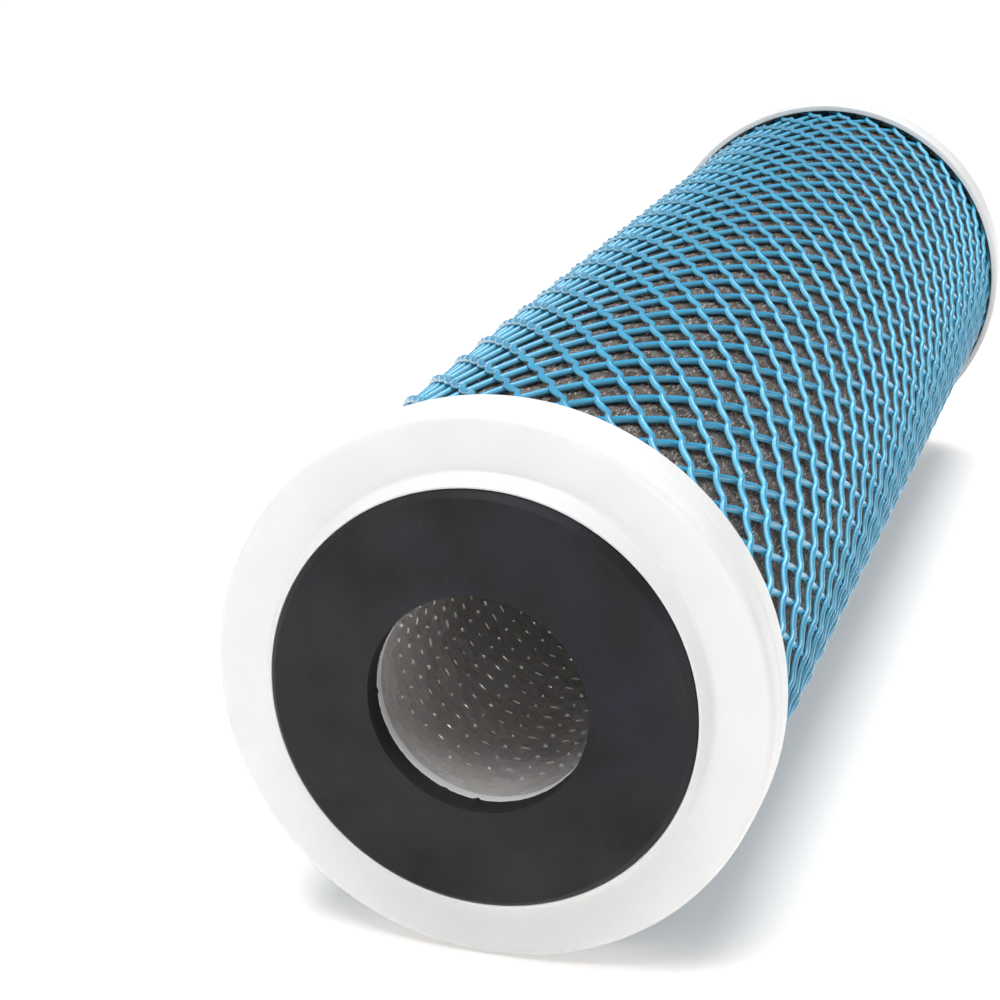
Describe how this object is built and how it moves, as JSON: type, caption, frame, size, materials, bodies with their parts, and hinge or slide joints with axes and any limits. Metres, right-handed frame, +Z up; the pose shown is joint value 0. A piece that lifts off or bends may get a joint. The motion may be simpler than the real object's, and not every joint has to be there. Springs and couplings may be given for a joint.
{
  "type": "inline water filter cartridge",
  "caption": "Double open ended carbon block water filter cartridge lying on its side: white end caps with flat black gaskets, grey fleece wrap under a blue diamond net, open bore.",
  "frame": {"origin": "on the cartridge's axis, half way along it, so in the middle of its bounding box", "axes": "+Y along the axis towards the rear cap, -Y out of the front cap, +Z up with the cartridge lying on its side, +X to the right seen from the front"},
  "size_m": [0.0698, 0.25, 0.0698],
  "materials": {
    "gasket_rubber": "matte",
    "cap_plastic": "satin",
    "adhesive": "satin",
    "core_plastic": "gloss",
    "spun_wrap": "matte",
    "carbon": "matte",
    "felt": "matte",
    "net_plastic": "gloss"
  },
  "bodies": {
    "root": {"front_gasket": "gasket_rubber", "front_cap": "cap_plastic", "front_adhesive": "adhesive", "core_tube": "core_plastic", "inner_wrap": "spun_wrap", "carbon_block": "carbon", "fine_wrap": "spun_wrap", "prefilter_fleece": "felt", "outer_net": "net_plastic", "rear_adhesive": "adhesive", "rear_cap": "cap_plastic", "rear_gasket": "gasket_rubber"}
  },
  "joints": []
}
